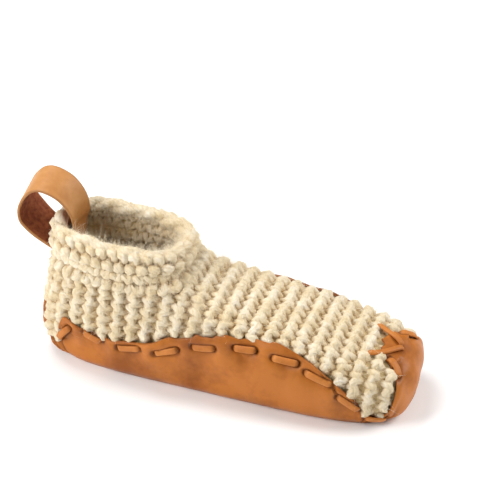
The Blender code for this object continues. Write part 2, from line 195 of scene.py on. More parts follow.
def outward(level, angle):
    """Normals of the form, pointing out of the foot."""
    level, angle = np.broadcast_arrays(level, angle)
    around = form(level, angle + 0.004) - form(level, angle - 0.004)
    low, high = np.maximum(level - 0.03, 0.0), np.minimum(level + 0.03, 12.0)
    return unit(np.cross(around, form(high, angle) - form(low, angle)))


def walked(points):
    """Distance walked along a line at each of its points."""
    return np.concatenate([[0.0], np.cumsum(np.linalg.norm(np.diff(points, axis=0), axis=1))])


OUTLINE_LEVEL = 3.0
FINE = np.linspace(0.0, math.pi, 4001)
WALK = walked(form(np.full(len(FINE), OUTLINE_LEVEL), FINE))
HALF_ROUND = WALK[-1]


def angle_at(around):
    """Angle at a place round the outline: 0 toe, 1 heel, negative on the near side."""
    around = (np.asarray(around, float) + 1.0) % 2.0 - 1.0
    return np.sign(around) * np.interp(np.abs(around) * HALF_ROUND, WALK, FINE)


# Upper edge of the leather: place round the outline and height above the floor in millimetres
EDGE = np.array([(0.000, 44.6), (0.047, 44.2), (0.075, 40.4), (0.090, 32.4), (0.107, 22.6),
                 (0.120, 11.3), (0.132, 6.1), (0.158, 8.0), (0.185, 19.8), (0.225, 32.0),
                 (0.290, 44.6), (0.370, 50.4), (0.450, 50.8), (0.520, 47.9), (0.620, 39.5),
                 (0.690, 32.0), (0.780, 28.7), (0.845, 33.8), (0.866, 33.8), (0.885, 14.1),
                 (0.900, 7.5), (0.915, 16.0), (0.935, 27.3), (0.965, 34.3), (1.000, 36.2)])


def soft_curve(xs, ys, x):
    """A smooth curve through points that never swings past them."""
    run = np.diff(xs)
    rise = np.diff(ys) / run
    slope = np.zeros(len(xs))
    steady = rise[:-1] * rise[1:] > 0
    both = 2 * rise[:-1] * rise[1:] / np.where(steady, rise[:-1] + rise[1:], 1.0)
    slope[1:-1] = np.where(steady, both, 0.0)
    k = np.clip(np.searchsorted(xs, x) - 1, 0, len(run) - 1)
    t = np.clip((x - xs[k]) / run[k], 0.0, 1.0)
    part = slope[k] * t * (1 - t) ** 2 - slope[k + 1] * t * t * (1 - t)
    return ys[k] + run[k] * part + (ys[k + 1] - ys[k]) * t * t * (3 - 2 * t)


# The cut runs inward from the outline, over every point of the form above it; the far side's edge is
# a little lower beside the ball
CUT_PLACES = np.linspace(0.0, 1.0, 700)
CUT_LEVELS = np.full(len(CUT_PLACES), OUTLINE_LEVEL)
CUT_POINTS = form(CUT_LEVELS, angle_at(CUT_PLACES * 0.99999))[:, :2]
CUT_INWARD = CUT_POINTS * [0.18, 0.50]
CUT_LENGTHS = np.maximum((CUT_INWARD ** 2).sum(-1), 1e-9)
CUT_HEIGHTS = soft_curve(EDGE[:, 0], EDGE[:, 1] * 0.001, CUT_PLACES)
FAR_DROP = 0.0034
BALL_X = 0.025
BATCH = 4000


def bell(distance, width):
    """A bell curve, 1 at no distance and fading over a width."""
    return np.exp(-(distance / width) ** 2)


def edge_height(points):
    """Height of the leather's edge above the floor where it passes over points of the form."""
    flat = points.reshape(-1, 3)
    result = np.empty(len(flat))
    for first in range(0, len(flat), BATCH):
        x = flat[first:first + BATCH, 0:1] - CUT_POINTS[None, :, 0]
        y = np.abs(flat[first:first + BATCH, 1:2]) - CUT_POINTS[None, :, 1]
        run = np.clip(-(x * CUT_INWARD[:, 0] + y * CUT_INWARD[:, 1]) / CUT_LENGTHS, -1.0, 3.0)
        miss = (x + run * CUT_INWARD[:, 0]) ** 2 + (y + run * CUT_INWARD[:, 1]) ** 2
        result[first:first + BATCH] = CUT_HEIGHTS[np.argmin(miss, axis=1)]
    result -= FAR_DROP * (flat[:, 1] > 0) * bell(flat[:, 0] - BALL_X, 0.06)
    return result.reshape(points.shape[:-1])


# Knitted sock: garter stitch in thick yarn. Every course is one tube of yarn whose loops hang in the
# next course, and heads and feet come forward in turn, which makes the ridges. Courses cross the foot
# and stand round the heel; the collar's courses lie level.
COURSE = 0.0051          # from one course to the next
STITCH = 0.0076          # from one loop to the next
LOOP_HEIGHT = 0.0035     # half a loop's height
LOOP_NECK = 0.0006       # how far a loop closes at its neck
RELIEF = 0.0028          # how far heads stand forward and feet back
SLANT = 0.40             # turn of the beads along the course, in radians of a loop
YARN = 0.00285           # the yarn's radius
BEAD = 0.12              # share by which it swells at a head and thins at a foot
MID_WALL = 0.0030        # depth of its middle under the sock's outside
PRESSED = 0.0026         # how deep the leather presses it
SHADED = 0.0030          # yarn this near the middle of the wall is in shade
DRIFT = 0.00045          # hand knitting: slow wander of a course
LUMPS = 0.00020          # bumps of the yarn's surface
UNEVEN_HEIGHT = 0.10     # how much loops differ in height, as a share
UNEVEN_YARN = 0.075      # in thickness
UNEVEN_PLACE = 0.26      # in place along the course, in radians of a loop
UNEVEN_RELIEF = 0.00032  # and in how far they stand out
SIDES = 8
PER_STITCH = 10
yarn_parts = {}


def resample(distances, walk, values):
    """Points of a line, or vectors along it, at distances from its start."""
    return np.stack([np.interp(distances, walk, values[:, k]) for k in range(3)], -1)


def yarn_tube(path, heading, out, radius, lumps):
    """Rings of points round the middle line of a yarn."""
    side = unit(np.cross(heading, out))
    up = np.cross(side, heading)
    turn = np.arange(SIDES) * 2 * math.pi / SIDES
    ring = (side[:, None, :] * np.cos(turn)[None, :, None]
            + up[:, None, :] * np.sin(turn)[None, :, None])
    return path[:, None, :] + ring * (radius[:, None] + lumps)[..., None]


def yarn_course(part, points, normals, forward, sign, phase=0.0, closed=False, squeeze=None):
    """Knit one course along a line of points. forward points to the next course, sign brings heads
    or feet to the front, and squeeze falls to 0 where the leather presses the yarn."""
    walk = walked(points)
    total = walk[-1]
    count = max(2, round(total / STITCH))
    s = np.linspace(0.0, total, count * PER_STITCH + 1)
    centre = resample(s, walk, points)
    out = unit(resample(s, walk, normals))
    ahead = unit(resample(s, walk, forward))
    along = unit(np.gradient(centre, axis=0))
    calm = np.ones(len(s)) if squeeze is None else np.interp(s, walk, squeeze)
    wobble = rng.normal(0.0, 1.0, (5, count + 3))
    knots = np.arange(count + 3) * (total / count)
    jitter = np.stack([np.interp(s, knots, w) for w in wobble])
    jitter[4] = np.interp(s, knots[::3], wobble[4][::3])
    if closed:
        jitter = jitter * np.minimum(1.0, np.minimum(s, total - s) / STITCH)
    taller, prouder, thicker, shifted, wander = jitter
    t = 2 * math.pi * s / (total / count if closed else STITCH) + phase
    t = t + UNEVEN_PLACE * shifted
    height = LOOP_HEIGHT * (1 + UNEVEN_HEIGHT * taller)
    relief = sign * RELIEF * calm * np.cos(t - SLANT) + UNEVEN_RELIEF * prouder
    path = (centre + along * (LOOP_NECK * np.sin(2 * t))[:, None]
            + ahead * (height * np.cos(t) + DRIFT * wander)[:, None]
            + out * relief[:, None]
            - out * ((1 - calm) * PRESSED)[:, None])
    radius = YARN * (1 + UNEVEN_YARN * thicker) * (0.80 + 0.20 * calm)
    radius *= 0.90 + BEAD * sign * np.cos(t - SLANT)
    heading = unit(np.gradient(path, axis=0))
    lumps = rng.normal(0.0, LUMPS, (len(path), SIDES))
    if closed:
        heading[0] = heading[-1] = unit(path[1] - path[-2])
        lumps[-1] = lumps[0]
    verts = yarn_tube(path, heading, out, radius, lumps)
    above = ((verts - centre[:, None, :]) * out[:, None, :]).sum(-1)
    # Painted shade: darker towards the middle of the wall, and more on the tube's inward half
    painted_shade = np.clip((SHADED - np.abs(above)) / SHADED, 0, 1) + 0.25 * (above < 0)
    yarn_parts.setdefault(part, []).append((verts, walked(path) + rng.uniform(0, 1), painted_shade))


def form_course(part, level, angle, sign, onward, lift=0.0, **options):
    """Knit a course along points of the form; onward is the side, 1 or -1, of the next course."""
    centre = form(level, angle)
    out = outward(level, angle)
    along = unit(np.gradient(centre, axis=0))
    ahead = unit(np.cross(out, along)) * onward
    yarn_course(part, centre - out * (MID_WALL - lift), out, ahead, sign, **options)


# Courses across the foot. Each lies in a plane that leans a little forward, from the near side's
# bottom up over the instep, or up to the cuff on each side under the collar.
SOLE_LEVEL = 0.9         # courses run from this level of the form
THROAT = 9.0             # up to this one, at the cuff's foot
HIDDEN = 0.007           # knitting is left off this deep behind the leather
EDGE_BAND = 0.0032       # band at the leather's edge over which the yarn sinks
HEEL_X = -0.086          # where the courses begin to fan out round the heel
COLLAR_X = -0.075        # the collar's middle
WAIST_X = 0.020          # the front of the waist's courses
TOE_X = 0.128            # the last course
LEAN = 0.10              # how far a course leans forward as it rises


def cuff_low(points):
    """Height of the cuff's lower edge, by the bearing of points from the collar's middle."""
    bearing = np.abs(np.arctan2(points[..., 1], points[..., 0] - COLLAR_X))
    return 0.0675 + 0.0070 * bell(bearing, 0.75)


def plane_line(x0, lean):
    """Levels and angles where the plane x = x0 + lean * z cuts the form's near side."""
    level = np.linspace(SOLE_LEVEL, THROAT, 500)
    ring = ring_at(level)
    rise = ring[:, 5] - ring[:, 4]
    along = (x0 + lean * (BASE + ring[:, 4]) - ring[:, 0]) / (ring[:, 1] - ring[:, 0] - lean * rise)
    inside = along < 1.0
    if not inside.all():
        stop = int(np.argmin(inside))
        level, along = level[:stop], along[:stop]
    c = 2 * along - 1
    c = np.sign(c) * np.abs(c) ** (ring_at(level)[:, 6] / 2)
    return level, -np.arccos(np.clip(c, -1, 1)), not inside.all()


def knit_line(part, level, angle, number, onward):
    """Knit one course from level and angle lines, leaving off what the leather hides."""
    points = form(level, angle)
    cover = edge_height(points) - points[:, 2]
    shown = (cover < HIDDEN) & (points[:, 2] < cuff_low(points) + 0.0015)
    if shown.sum() < 8:
        return
    first = int(np.argmax(shown))
    last = len(shown) - int(np.argmax(shown[::-1]))
    gaps = np.linalg.norm(np.diff(points, axis=0), axis=1)
    start = 2 * math.pi * gaps[:first].sum() / STITCH
    keep = slice(first, last)
    calm = np.clip(1 - (cover[keep] + EDGE_BAND / 2) / EDGE_BAND, 0.0, 1.0)
    sign = 1.0 if number % 2 else -1.0
    form_course(part, level[keep], angle[keep], sign, onward, phase=start, squeeze=calm)


number = 0
x0 = HEEL_X
while x0 < TOE_X:
    lean = LEAN * min(1.0, max(0.0, (x0 - HEEL_X) / 0.06))
    level, angle, closes = plane_line(x0 - lean * 0.03, lean)
    part = "knit_toe" if x0 > WAIST_X else "knit_waist"
    if len(level) > 20:
        top = form(level[-1:], angle[-1:])
        if closes and top[0, 2] < cuff_low(top)[0]:
            level = np.concatenate([level, level[::-1]])
            angle = np.concatenate([angle, -angle[::-1]])
            knit_line(part, level, angle, number, -1.0)
        else:
            knit_line(part, level, angle, number, -1.0)
            knit_line(part, level, -angle, number, 1.0)
    x0 += COURSE
    number += 1

# Courses round the heel, in upright planes that fan out from inside it
sweep = np.linspace(-math.pi, -0.9, 1200)
outline = form(np.full(len(sweep), 5.0), sweep)
start = int(np.argmin(np.abs(outline[:, 0] - HEEL_X)))
line = outline[:start + 1][::-1]
walk = walked(line)
line_bearing = np.unwrap(np.arctan2(line[:, 1], line[:, 0] - HEEL_X))
sweep = sweep[:start + 40]
level = np.linspace(SOLE_LEVEL, THROAT, 300)
rays = form(level[:, None], sweep[None, :])
ray_bearing = np.unwrap(np.arctan2(rays[..., 1], rays[..., 0] - HEEL_X), axis=1)
ray_bearing = np.where(ray_bearing > 0, ray_bearing - 2 * math.pi, ray_bearing)
for side in (1.0, -1.0):
    number = -1
    distance = COURSE * (1.0 if side > 0 else 0.6)
    while distance < walk[-1]:
        bearing = np.interp(distance, walk, line_bearing)
        angle = np.array([np.interp(bearing, row, sweep) for row in ray_bearing])
        knit_line("knit_heel", level, angle * side, number, -side)
        distance += COURSE
        number -= 1

# Collar: level courses round the cuff, which stands a little proud of the foot, and a thick rolled rim
# of two strands that twist round each other
CUFF_COURSES = 6
RIM_PITCH = 0.030
RIM_RADIUS = 0.0035
bearings = np.linspace(-math.pi, math.pi, 901)
cuff_levels = np.linspace(5.5, 12.0, 131)
sweep_all = np.linspace(-math.pi, math.pi, 1441)
rays = form(cuff_levels[:, None], sweep_all[None, :])
ray_bearing = np.arctan2(rays[..., 1], rays[..., 0] - COLLAR_X)
ray_bearing[:, 0], ray_bearing[:, -1] = -math.pi, math.pi
cuff_angle = np.array([np.interp(bearings, b, sweep_all) for b in ray_bearing])
cuff_points = form(cuff_levels[:, None], cuff_angle)
low_edge = cuff_low(cuff_points[60])
high_edge = cuff_points[-1, :, 2]


def cuff_line(share):
    """Levels and angles of a line round the cuff; share is 0 at its lower edge and 1 at the rim."""
    height = low_edge + share * (high_edge - low_edge)
    level = np.array([np.interp(h, cuff_points[:, k, 2], cuff_levels) for k, h in enumerate(height)])
    angle = np.array([np.interp(v, cuff_levels, cuff_angle[:, k]) for k, v in enumerate(level)])
    return level, angle


for k, share in enumerate(np.linspace(0.07, 0.80, CUFF_COURSES)):
    level, angle = cuff_line(share)
    sign = 1.0 if k % 2 else -1.0
    form_course("knit_cuff", level, angle, sign, 1.0, lift=0.0012 * (1 - share), closed=True)
level, angle = cuff_line(0.955)
rim_out = outward(level, angle)
rim_middle = form(level, angle) - rim_out * 0.0034
walk = walked(rim_middle)
pitch = walk[-1] / round(walk[-1] / RIM_PITCH)
s = np.linspace(0.0, walk[-1], 400)
centre = resample(s, walk, rim_middle)
out = unit(resample(s, walk, rim_out))
rise = np.array([0.0, 0.0, 1.0])
for strand in (0.0, math.pi):
    t = 2 * math.pi * s / pitch + strand
    path = centre + out * (0.0013 * np.cos(t))[:, None] + rise * (0.0014 * np.sin(t))[:, None]
    path += (out * (0.0004 * np.sin(s * 300 + strand))[:, None]
             + rise * (0.0005 * np.sin(s * 210))[:, None])
    lumps = rng.normal(0.0, 1.2 * LUMPS, (len(s), SIDES))
    lumps[-1] = lumps[0]
    radius = RIM_RADIUS + 0.0003 * np.sin(s * 190 + strand * 2)
    verts = yarn_tube(path, unit(np.gradient(path, axis=0)), out, radius, lumps)
    yarn_parts["knit_cuff"].append((verts, s * 1.2, np.zeros(verts.shape[:2])))


def link_mesh(name, verts, faces, material):
    """An object from arrays of points and quads, put in the scene and on the slipper's body."""
    mesh = bpy.data.meshes.new(name)
    mesh.from_pydata(np.asarray(verts).tolist(), [], np.asarray(faces).tolist())
    mesh.materials.append(material)
    mesh.shade_smooth()
    piece = bpy.data.objects.new(name, mesh)
    bpy.context.scene.collection.objects.link(piece)
    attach(piece, "root")
    return piece


def grid_faces(rows, columns):
    """Quads of a grid of points, row after row, with the last column joined to the first."""
    r = np.arange(rows - 1)[:, None]
    c = np.arange(columns)[None, :]
    a, b = r * columns + c, r * columns + (c + 1) % columns
    return np.stack([a, b, b + columns, a + columns], -1).reshape(-1, 4)


def build_yarn(part, strands):
    """One mesh of all the yarn in a part of the sock, with lengths along the yarn as its UVs."""
    points, faces, lengths, rounds, painted_shades = [], [], [], [], []
    offset = 0
    for verts, length, painted_shade in strands:
        rows = len(verts)
        points.append(verts.reshape(-1, 3))
        faces.append(grid_faces(rows, SIDES)[:, ::-1] + offset)
        r = np.arange(rows - 1)[:, None]
        c = np.arange(SIDES)[None, :]
        low, high = length[r] + 0 * c, length[r + 1] + 0 * c
        first, second = c / SIDES + 0 * r, (c + 1) / SIDES + 0 * r
        u = np.stack([high, high, low, low], -1)
        v = np.stack([first, second, second, first], -1) + u * 40.0
        painted_shades.append(painted_shade.reshape(-1))
        lengths.append(u.reshape(-1))
        rounds.append(v.reshape(-1))
        offset += rows * SIDES
    piece = link_mesh(part, np.concatenate(points), np.concatenate(faces), wool)
    layer = piece.data.uv_layers.new(name="yarn")
    both = np.stack([np.concatenate(lengths), np.concatenate(rounds)], -1)
    layer.data.foreach_set("uv", both.astype(np.float32).reshape(-1))
    depth = piece.data.attributes.new("painted_shade", "FLOAT", "POINT")
    depth.data.foreach_set("value", np.clip(np.concatenate(painted_shades), 0, 0.85).astype(np.float32))
    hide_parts("knit_upper")


for part, strands in yarn_parts.items():
    build_yarn(part, strands)

# Halo: single fine fibres of wool that stand off the yarn and curl, thickest in front of the collar.
# They are flat strips 0.1 mm wide, coarser than real wool, and none grows by the strap or the leather.
hair_wool, shader = new_material("wool_fibre", 0.9)
shader.inputs["Base Color"].default_value = srgb("F8ECD2")
strands = [strand for part in yarn_parts.values() for strand in part]
roots = np.concatenate([verts.reshape(-1, 3) for verts, _, _ in strands])
axes = np.concatenate([np.repeat(verts.mean(1), SIDES, axis=0) for verts, _, _ in strands])
by_strap = (roots[:, 0] < -0.104) & (np.abs(roots[:, 1]) < 0.018) & (roots[:, 2] > 0.060)
margin = np.interp(roots[:, 0], [0.095, 0.110], [0.0035, 0.0080])
bare = roots[:, 2] - edge_height(roots) - margin
free = np.flatnonzero((bare > 0) & ~by_strap)


def halo_piece(name, count, odds, shortest, longest, thick):
    """One mesh of loose fibres, rooted on the yarn's surface by the given odds."""
    chosen = rng.choice(free, count, replace=False, p=odds / odds.sum())
    root = roots[chosen]
    stand = unit(root - axes[chosen])
    lean_to = unit(rng.normal(0, 1, (count, 3)))
    reach = (shortest + (longest - shortest) * rng.uniform(0, 1, count) ** 3)[:, None]
    curl = unit(np.cross(stand, lean_to))
    spine = np.stack([root + (stand * s + lean_to * 0.9 * s * s + curl * 0.6 * s ** 3) * reach
                      for s in (0.0, 0.5, 1.0)], 1)
    half_wide = (np.array([0.5, 0.4, 0.12]) * thick)[None, :, None]
    wide = unit(np.cross(stand, lean_to + 0.3))[:, None, :] * half_wide
    strip = np.stack([spine - wide, spine + wide], 2).reshape(-1, 3)
    quads = np.array([(0, 1, 3, 2), (2, 3, 5, 4)])
    faces = (np.arange(count)[:, None, None] * 6 + quads[None]).reshape(-1, 4)
    link_mesh(name, strip, faces, hair_wool)


x, z = roots[free, 0], roots[free, 2]
even = 1.0 + 0.8 * (z > 0.088)
halo_piece("wool_halo", 42000, even, shortest=0.0014, longest=0.0058, thick=0.00013)
throat = bell(x + 0.022, 0.022) * (z > 0.048) + 0.06 * (z > 0.094) + 0.02
halo_piece("wool_halo_throat", 14000, throat, shortest=0.0026, longest=0.0085, thick=0.00010)

# Backing: the felted middle of the knitted wall, a thin shell of the same wool that closes the gaps
# between the loops and gives the sock its inside and its bottom. Its darker tan is painted shade for the
# gaps and the inside. Its matted fibres lie 3 mm apart.
felt, shader = new_material("shaded_wool_felt", 1.0)
place = node(felt, "ShaderNodeTexCoord").outputs["Object"]
matted = node(felt, "ShaderNodeTexNoise", Vector=place, Scale=300.0, Detail=4.0)
felt.node_tree.links.new(ramp(felt, matted.outputs["Fac"], [(0.3, "B69B69"), (0.7, "D6C296")]),
                         shader.inputs["Base Color"])
bump = node(felt, "ShaderNodeBump", Height=matted.outputs["Fac"], Strength=0.8, Distance=0.001)
felt.node_tree.links.new(bump.outputs["Normal"], shader.inputs["Normal"])
levels = np.linspace(0.0, 11.75, 90)
turns = np.linspace(-math.pi, math.pi, 241)[:-1]
grid_level, grid_angle = np.meshgrid(levels, turns, indexing="ij")
shape = form(grid_level, grid_angle)
normal = outward(grid_level, grid_angle)
depth = np.interp(shape[..., 0], [0.085, 0.105], [0.0026, 0.0016])
outer = shape - normal * depth[..., None]
inner = shape - normal * 0.0042
bottom = []
for share in (0.6, 0.2, 0.02):
    row = inner[0] * [share, share, 1.0]
    row[:, 2] = BASE + 0.0045
    bottom.append(row)
wall = np.concatenate([outer, inner[::-1], np.array(bottom)])
faces = grid_faces(len(wall), len(turns))
backing = link_mesh("knit_backing", wall.reshape(-1, 3), faces, felt)
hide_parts("knit_upper")


# Leather sole: one piece of vegetable-tanned cowhide, wrapped up round the foot and drawn in by the
# thong. Its smooth grain is drawn coarser than real, with cells of 1 mm and pores of 1.5 mm, under soft
# mottling 4 to 45 mm across. Painted shade darkens it in the stitch holes, along and below the stitches,
# in the folds at the corners and where it tucks under the knit, and its edges are darker with wear.
def leather_material(name, light, middle_tone, dark, roughness):
    """Tan leather; the dark attribute paints shade into holes and folds, and darkens worn edges."""
    material, shader = new_material(name, roughness)
    place = node(material, "ShaderNodeTexCoord").outputs["Object"]
    broad = node(material, "ShaderNodeTexNoise", Vector=place, Scale=22.0, Detail=4.0, Roughness=0.55)
    small = node(material, "ShaderNodeTexNoise", Vector=place, Scale=260.0, Detail=3.0)
    both = node(material, "ShaderNodeMath", operation="MULTIPLY_ADD", i0=small.outputs["Fac"], i1=0.22,
                i2=broad.outputs["Fac"]).outputs["Value"]
    tan = ramp(material, both, [(0.46, middle_tone), (0.70, light)])
    shade_and_wear = node(material, "ShaderNodeAttribute", attribute_name="dark").outputs["Fac"]
    colour = node(material, "ShaderNodeMix", data_type="RGBA", i0=shade_and_wear, i6=tan, i7=srgb(dark))
    material.node_tree.links.new(colour.outputs[2], shader.inputs["Base Color"])
    grain = node(material, "ShaderNodeTexVoronoi", Vector=place, Scale=1100.0)
    pores = node(material, "ShaderNodeTexNoise", Vector=place, Scale=700.0, Detail=5.0)
    first = node(material, "ShaderNodeBump", Height=grain.outputs["Distance"], Strength=0.10,
                 Distance=0.0004)
    second = node(material, "ShaderNodeBump", Height=pores.outputs["Fac"], Strength=0.16,
                  Distance=0.0005, Normal=first.outputs["Normal"])
    third = node(material, "ShaderNodeBump", Height=broad.outputs["Fac"], Strength=0.25,
                 Distance=0.004, Normal=second.outputs["Normal"])
    material.node_tree.links.new(third.outputs["Normal"], shader.inputs["Normal"])
    shader.inputs["Specular IOR Level"].default_value = 0.25
    return material


tan_leather = leather_material("tan_vegetable_leather", "B86D28", "904E15", "431E0B", 0.42)
strap_leather = leather_material("tan_leather_strap", "C48C54", "AE743F", "4A200D", 0.46)
thong_leather = leather_material("tan_leather_thong", "C27936", "A86127", "4A200D", 0.48)


def grid_object(name, points, dark, material):
    """A mesh from a grid of points with a value of painted shade and edge wear at each."""
    piece = link_mesh(name, points.reshape(-1, 3), grid_faces(*points.shape[:2]), material)
    shade_and_wear = piece.data.attributes.new("dark", "FLOAT", "POINT")
    shade_and_wear.data.foreach_set("value", np.clip(dark, 0, 1).astype(np.float32).reshape(-1))
    return piece


# Stitches of the thong: place round the outline, height in millimetres, and turn in degrees, which
# lifts the end nearer the toe
STITCHES = [(0.070, 38.5, 66), (0.140, 8.0, -10), (0.208, 20.7, -42), (0.245, 35.7, -34),
            (0.290, 43.2, -10), (0.378, 45.6, 5), (0.515, 41.4, 9), (0.612, 32.9, 25),
            (0.693, 28.2, 18), (0.783, 28.7, -14), (0.858, 23.5, 58), (0.952, 16.9, 80)]
STITCH_LENGTH = 0.0140
THICKNESS = 0.0023       # of the sole's leather
stitch_list = [(sign * a, h * 0.001 - (0.0030 if sign > 0 and 0.22 < a < 0.6 else 0.0), turn)
               for sign in (-1.0, 1.0) for a, h, turn in STITCHES]
stitch_list.append((0.9999, 0.0291, 0))
LEVELS = np.linspace(0.0, 12.0, 1201)


def level_at(around, height):
    """Level at which the form reaches a height, at places round it."""
    angle = angle_at(around)
    grid = form(LEVELS[:, None], angle[None, :])[..., 2]
    return np.array([np.interp(h, grid[:, k], LEVELS) for k, h in enumerate(height)])


def stitch_line(around, height, turn, shares):
    """Levels and angles along one stitch; shares count its length from its middle."""
    sign = math.copysign(1.0, around)
    slope = math.radians(turn)
    near = np.array([around, around - sign * 0.01, around])
    high = np.array([height, height, height + 0.001])
    spots = form(level_at(near, high), angle_at(near))
    per_around = np.linalg.norm(spots[1] - spots[0]) / 0.01
    per_height = np.linalg.norm(spots[2] - spots[0]) / 0.001
    run = np.asarray(shares) * STITCH_LENGTH
    places = around - sign * run * math.cos(slope) / per_around
    heights = height + run * math.sin(slope) / per_height
    return level_at(places, heights), angle_at(places)


holes = []
for around, height, turn in stitch_list:
    level, angle = stitch_line(around, height, turn, (-0.5, 0.5))
    holes.extend(form(level, angle))
holes = np.array(holes)

# The skin is a grid from under the foot up to the cut edge, which stands up a little at each stitch
columns = 840
arounds = np.linspace(-1.0, 1.0, columns + 1)[:-1]
angles = angle_at(arounds)
scallop = np.zeros(columns)
for around, height, turn in stitch_list:
    gap = (arounds - around + 1.0) % 2.0 - 1.0
    scallop += 0.0011 * bell(gap * HALF_ROUND, 0.0065)
scallop += 0.0004 * np.sin(arounds * 57.0) + 0.0003 * np.sin(arounds * 131.0 + 1.0)
fine_levels = np.linspace(0.3, 6.2, 119)
climb = form(fine_levels[:, None], angles[None, :])
excess = climb[..., 2] - edge_height(climb) - scallop[None, :]
above = np.argmax(excess > 0, axis=0)
low_excess = excess[above - 1, np.arange(columns)]
high_excess = excess[above, np.arange(columns)]
top_level = fine_levels[above - 1] + 0.05 * -low_excess / (high_excess - low_excess)
soften = np.array([0.1, 0.2, 0.4, 0.2, 0.1])
top_level = np.convolve(np.pad(top_level, 2, mode="wrap"), soften, "valid")
top = form(top_level, angles)[:, 2]
shares = np.linspace(0.0, 1.0, 64) ** 0.9
grid_level = top_level[None, :] * shares[:, None]
grid_angle = np.broadcast_to(angles[None, :], grid_level.shape)
surface = form(grid_level, grid_angle)
normal = outward(grid_level, grid_angle)
below_edge = top[None, :] - surface[..., 2]

# Its relief: a bed under each stitch, a hollow below it and a crease under each hole, then slow
# waves, pleats at the four corners and random dents
wave = np.zeros(surface.shape[:2])
shade_and_wear = np.zeros(surface.shape[:2])
for first, second in zip(holes[::2], holes[1::2]):
    run = unit(second - first)
    share = np.clip(((surface - first) * run).sum(-1) / np.linalg.norm(second - first), 0, 1)
    beside = np.linalg.norm(surface - first - share[..., None] * (second - first), axis=-1)
    wave -= 0.0013 * bell(beside, 0.0034)
    # Painted shadow: a dark line along both sides of the thong's bed
    shade_and_wear = np.maximum(shade_and_wear, 0.75 * bell(beside - 0.0023, 0.0006))
    away = surface - (first + second) / 2
    across = np.linalg.norm(away[..., :2], axis=-1)
    down = -away[..., 2]
    hollow = bell(across, 0.0075) * np.exp(-np.maximum(down, 0) / 0.014) * (down > -0.001)
    wave -= 0.0032 * hollow
    # Painted shade in the hollow below the stitch
    shade_and_wear = np.maximum(shade_and_wear, 0.10 * hollow)
    for hole in (first, second):
        away = surface - hole
        near = np.linalg.norm(away, axis=-1)
        wave -= 0.0016 * bell(near, 0.0016)
        # Painted shade down each hole
        shade_and_wear = np.maximum(shade_and_wear, 0.95 * np.exp(-(near / 0.0017) ** 4))
        across = np.linalg.norm(away[..., :2], axis=-1)
        down = -away[..., 2]
        crease = bell(across, 0.0022) * np.exp(-np.maximum(down, 0) / 0.008)
        wave -= 0.0006 * crease * (down > -0.002)
x, y, z = surface[..., 0], surface[..., 1], surface[..., 2]
side_fade = np.clip((z - 0.004) / 0.012, 0, 1)
wave += side_fade * (0.0013 * np.sin(x * 95 + y * 60 + 0.6) * np.sin(z * 90 + x * 30)
                     + 0.0004 * np.sin(x * 210 - y * 120 + z * 100 + 2.0))
CORNERS = (0.128, -0.128, 0.900, -0.900)
PLEATS = [(-0.0120, 0.0014), (-0.0065, 0.0020), (-0.0015, 0.0024), (0.0035, 0.0022), (0.0090, 0.0016)]
tall = bell(z - 0.006, 0.008)
for corner in CORNERS:
    gap = ((arounds - corner + 1.0) % 2.0 - 1.0) * HALF_ROUND
    for offset, depth in PLEATS:
        pleat = bell(gap - offset, 0.0014)[None, :]
        wave -= depth * pleat * tall
        # Painted shade in the pleats
        shade_and_wear = np.maximum(shade_and_wear, 0.60 * pleat * tall)
wave += 0.0008 * bell(below_edge - 0.0035, 0.0045)
DENTS = 110
open_skin = surface[12:-6].reshape(-1, 3)
for spot in rng.integers(0, len(open_skin), DENTS):
    near = np.linalg.norm((surface - open_skin[spot]) * [1.0, 1.0, 0.7], axis=-1)
    dent = rng.uniform(-0.0018, 0.0012)
    wave += side_fade * dent * bell(near, rng.uniform(0.005, 0.013))
wave = np.maximum(wave, -0.0042)

# Its underside lies on the floor, its cut edge is rounded, and the rows inside it tuck under the knit
outer = surface + normal * (THICKNESS + wave)[..., None]
outer[..., 2] = np.maximum(outer[..., 2], 0.0)
under = [surface[0] * [share, share, 1.0] for share in (0.02, 0.35, 0.7, 0.93)]
under.append(surface[0] + normal[0] * 0.0004)
under = np.array(under)
under[..., 2] = 0.0
climbing = unit(surface[-1] - surface[-2])
rounding = []
for angle in np.radians([25, 55, 90, 125, 155]):
    depth = THICKNESS - 0.0010 * (1 - math.cos(angle))
    rounding.append(surface[-1] + normal[-1] * (depth + wave[-1])[..., None]
                    + climbing * (0.0009 * math.sin(angle)))
tuck = [surface[-row] + normal[-row] * depth for row, depth in ((2, 0.0003), (6, 0.0002))]
rows = np.concatenate([under, outer, np.array(rounding), np.array(tuck)])
# The cut edge is a little darker with wear; the rows tucked under the knit get painted shade
dark = np.concatenate([np.zeros((len(under), columns)), shade_and_wear, np.full((len(rounding), columns), 0.25),
                       np.full((len(tuck), columns), 0.6)])
leather = grid_object("leather_sole_skin", rows, dark, tan_leather)
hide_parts("leather_sole")

# Thong stitches: a flat strip of the same leather, 4.5 mm wide and 1.3 mm thick, laced in a running
# stitch through the sole's edge and the knit. Each stitch lies in its dent and bends down into its
# holes at both ends.
SECTION = [(0.50, 0.0), (0.50, 0.45), (0.44, 0.8), (0.30, 1.0), (0.0, 1.05), (-0.30, 1.0), (-0.44, 0.8),
           (-0.50, 0.45), (-0.50, 0.0), (0.0, -0.05)]
THONG_WIDTH = 0.0045
THONG_THICKNESS = 0.0013


